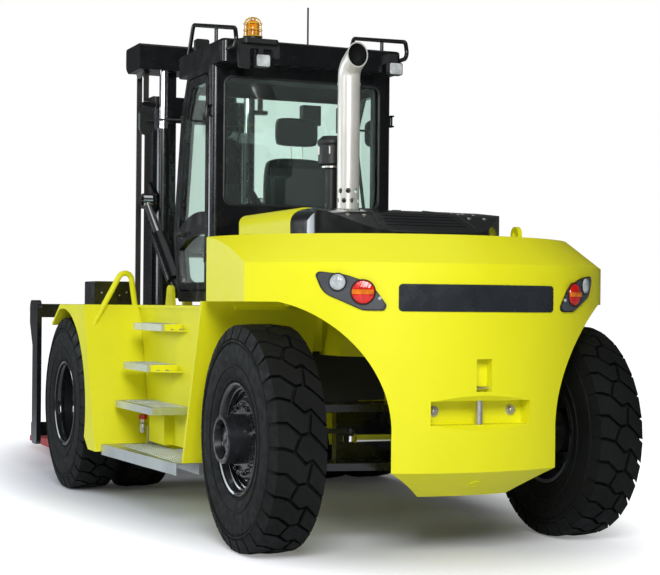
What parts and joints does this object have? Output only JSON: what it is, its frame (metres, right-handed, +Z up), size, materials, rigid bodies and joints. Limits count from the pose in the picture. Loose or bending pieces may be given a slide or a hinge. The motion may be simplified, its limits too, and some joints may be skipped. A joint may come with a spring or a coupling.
{
  "type": "heavy counterbalance forklift truck",
  "caption": "Heavy yellow counterbalance forklift with enclosed cab, twin drive tyres, rear steering, two-stage mast, wide carriage and forks.",
  "frame": {"origin": "on the floor, under the middle of the whole length and width", "axes": "+X forward towards the fork tips, +Y to the left, +Z up"},
  "size_m": [7.375, 2.56, 3.35],
  "materials": {
    "yellow_paint": "semi-gloss yellow machine paint",
    "black_paint": "satin black machine paint",
    "rim_paint": "gloss black wheel paint",
    "fork_paint": "red paint worn to steel at the tips and soles",
    "galvanised_steel": "galvanised grating",
    "black_plastic": "textured black plastic",
    "black_gloss_plastic": "gloss black moulding",
    "engine_iron": "painted cast iron",
    "chrome_rod": "ground and chromed",
    "stainless_steel": "polished stainless tube",
    "plated_steel": "zinc plated",
    "chain_steel": "oiled leaf chain",
    "tinted_glass": "green-tinted safety glass",
    "lamp_glass": "clear lamp lens",
    "red_lens": "red lamp lens",
    "amber_lens": "amber beacon lens",
    "seat_fabric": "woven black seat fabric",
    "tyre_rubber": "matt rubber"
  },
  "bodies": {
    "chassis": {"frame": "yellow_paint", "counterweight": "yellow_paint", "side_tanks": "yellow_paint", "steps": "galvanised_steel", "handrails": "yellow_paint", "hood_sides": "yellow_paint", "hood_cowl": "black_plastic", "engine": "engine_iron", "drive_axle": "black_paint", "steer_axle": "black_paint", "cab_shell": "black_paint", "cab_roof": "black_paint", "cab_glass": "tinted_glass", "seat_base": "black_plastic", "seat_cushions": "seat_fabric", "steering_column": "black_plastic", "exhaust_stack": "stainless_steel", "air_intake": "black_plastic", "roof_rails": "black_paint", "beacon": "amber_lens", "antenna": "black_plastic", "mirrors": "black_plastic", "work_lamps": "lamp_glass", "tail_lamps": "red_lens", "tow_pin": "plated_steel", "deck_box": "black_paint"},
    "steering_wheel": {"steering_wheel": "black_plastic"},
    "hood_lid": {"hood_lid": "black_gloss_plastic"},
    "steer_rod": {"steer_rod": "chrome_rod"},
    "mast": {"outer_mast": "black_paint", "lift_barrels": "black_paint"},
    "inner_mast": {"inner_mast": "black_paint", "lift_rods": "chrome_rod", "lift_chains": "chain_steel"},
    "carriage": {"carriage": "black_paint"},
    "knuckle_left": {"knuckle_left": "black_paint"},
    "tie_link_left": {"tie_link_left": "black_paint"},
    "steer_wheel_left": {"steer_tyre_left": "tyre_rubber", "steer_rim_left": "rim_paint"},
    "drive_wheels_left": {"drive_tyres_left": "tyre_rubber", "drive_rim_left": "rim_paint"},
    "door_left": {"door_left": "black_paint", "door_glass_left": "tinted_glass"},
    "tilt_barrel_left": {"tilt_barrel_left": "black_paint"},
    "tilt_rod_left": {"tilt_rod_left": "chrome_rod"},
    "fork_left": {"fork_left": "fork_paint"},
    "knuckle_right": {"knuckle_right": "black_paint"},
    "tie_link_right": {"tie_link_right": "black_paint"},
    "steer_wheel_right": {"steer_tyre_right": "tyre_rubber", "steer_rim_right": "rim_paint"},
    "drive_wheels_right": {"drive_tyres_right": "tyre_rubber", "drive_rim_right": "rim_paint"},
    "door_right": {"door_right": "black_paint", "door_glass_right": "tinted_glass"},
    "tilt_barrel_right": {"tilt_barrel_right": "black_paint"},
    "tilt_rod_right": {"tilt_rod_right": "chrome_rod"},
    "fork_right": {"fork_right": "fork_paint"}
  },
  "joints": [
    {"name": "steer_left", "type": "hinge", "parent": "chassis", "child": "knuckle_left", "pos_m": [-2.9325, 0.76, 0.616], "axis": [0, 0, 1], "range_deg": [-60, 60]},
    {"name": "steer_wheel_left_turn", "type": "hinge", "parent": "knuckle_left", "child": "steer_wheel_left", "pos_m": [-2.9325, 0.95, 0.616], "axis": [0, 1, 0], "continuous": true},
    {"name": "tie_left_turn", "type": "hinge", "parent": "knuckle_left", "child": "tie_link_left", "pos_m": [-3.08285, 0.70528, 0.616], "axis": [0, 0, 1], "range_deg": [-48, 48]},
    {"name": "drive_wheels_left_turn", "type": "hinge", "parent": "chassis", "child": "drive_wheels_left", "pos_m": [0.2475, 0.93, 0.616], "axis": [0, 1, 0], "continuous": true},
    {"name": "door_left_swing", "type": "hinge", "parent": "chassis", "child": "door_left", "pos_m": [-1.1265, 0.666, 2.12], "axis": [0, 0, 1], "range_deg": [0, 75]},
    {"name": "tilt_barrel_left_pivot", "type": "hinge", "parent": "chassis", "child": "tilt_barrel_left", "pos_m": [0.0175, 0.48, 1.42], "axis": [0, 1, 0], "range_deg": [-11, 7]},
    {"name": "tilt_rod_left_slide", "type": "slide", "parent": "tilt_barrel_left", "child": "tilt_rod_left", "axis": [0.7675, 0, 0.6411], "range_m": [-0.23, 0.14]},
    {"name": "fork_left_shift", "type": "slide", "parent": "carriage", "child": "fork_left", "axis": [0, 1, 0], "range_m": [-0.35, 0.3]},
    {"name": "steer_right", "type": "hinge", "parent": "chassis", "child": "knuckle_right", "pos_m": [-2.9325, -0.76, 0.616], "axis": [0, 0, 1], "range_deg": [-60, 60]},
    {"name": "steer_wheel_right_turn", "type": "hinge", "parent": "knuckle_right", "child": "steer_wheel_right", "pos_m": [-2.9325, -0.95, 0.616], "axis": [0, 1, 0], "continuous": true},
    {"name": "tie_right_turn", "type": "hinge", "parent": "knuckle_right", "child": "tie_link_right", "pos_m": [-3.08285, -0.70528, 0.616], "axis": [0, 0, 1], "range_deg": [-48, 48]},
    {"name": "drive_wheels_right_turn", "type": "hinge", "parent": "chassis", "child": "drive_wheels_right", "pos_m": [0.2475, -0.93, 0.616], "axis": [0, 1, 0], "continuous": true},
    {"name": "door_right_swing", "type": "hinge", "parent": "chassis", "child": "door_right", "pos_m": [-1.1265, -0.666, 2.12], "axis": [0, 0, -1], "range_deg": [0, 75]},
    {"name": "tilt_barrel_right_pivot", "type": "hinge", "parent": "chassis", "child": "tilt_barrel_right", "pos_m": [0.0175, -0.48, 1.42], "axis": [0, 1, 0], "range_deg": [-11, 7]},
    {"name": "tilt_rod_right_slide", "type": "slide", "parent": "tilt_barrel_right", "child": "tilt_rod_right", "axis": [0.7675, 0, 0.6411], "range_m": [-0.23, 0.14]},
    {"name": "fork_right_shift", "type": "slide", "parent": "carriage", "child": "fork_right", "axis": [0, 1, 0], "range_m": [-0.3, 0.35]},
    {"name": "steer_rod_slide", "type": "slide", "parent": "chassis", "child": "steer_rod", "axis": [0, 1, 0], "range_m": [-0.15, 0.15]},
    {"name": "mast_tilt", "type": "hinge", "parent": "chassis", "child": "mast", "pos_m": [0.8475, 0, 0.5], "axis": [0, 1, 0], "range_deg": [-10, 6]},
    {"name": "mast_lift", "type": "slide", "parent": "mast", "child": "inner_mast", "axis": [0, 0, 1], "range_m": [0, 1.8]},
    {"name": "carriage_lift", "type": "slide", "parent": "inner_mast", "child": "carriage", "axis": [0, 0, 1], "range_m": [0, 1.8]},
    {"name": "steering_wheel_turn", "type": "hinge", "parent": "chassis", "child": "steering_wheel", "pos_m": [-0.63284, 0, 1.917], "axis": [-0.0198, 0, 0.9998], "continuous": true},
    {"name": "hood_lid_lift", "type": "hinge", "parent": "chassis", "child": "hood_lid", "pos_m": [-2.0305, 0, 1.92], "axis": [0, 1, 0], "range_deg": [0, 40]}
  ],
  "couplings": [
    {"joint": "tilt_barrel_left_pivot", "follows": "mast_tilt", "ratio": 1},
    {"joint": "tilt_rod_left_slide", "follows": "mast_tilt", "m_per_rad": 1.235},
    {"joint": "tie_left_turn", "follows": "steer_left", "ratio": -0.79},
    {"joint": "tilt_barrel_right_pivot", "follows": "mast_tilt", "ratio": 1},
    {"joint": "tilt_rod_right_slide", "follows": "mast_tilt", "m_per_rad": 1.235},
    {"joint": "tie_right_turn", "follows": "steer_left", "ratio": -0.79},
    {"joint": "steer_right", "follows": "steer_left", "ratio": 1},
    {"joint": "steer_rod_slide", "follows": "steer_left", "m_per_rad": -0.125},
    {"joint": "carriage_lift", "follows": "mast_lift", "ratio": 1}
  ]
}
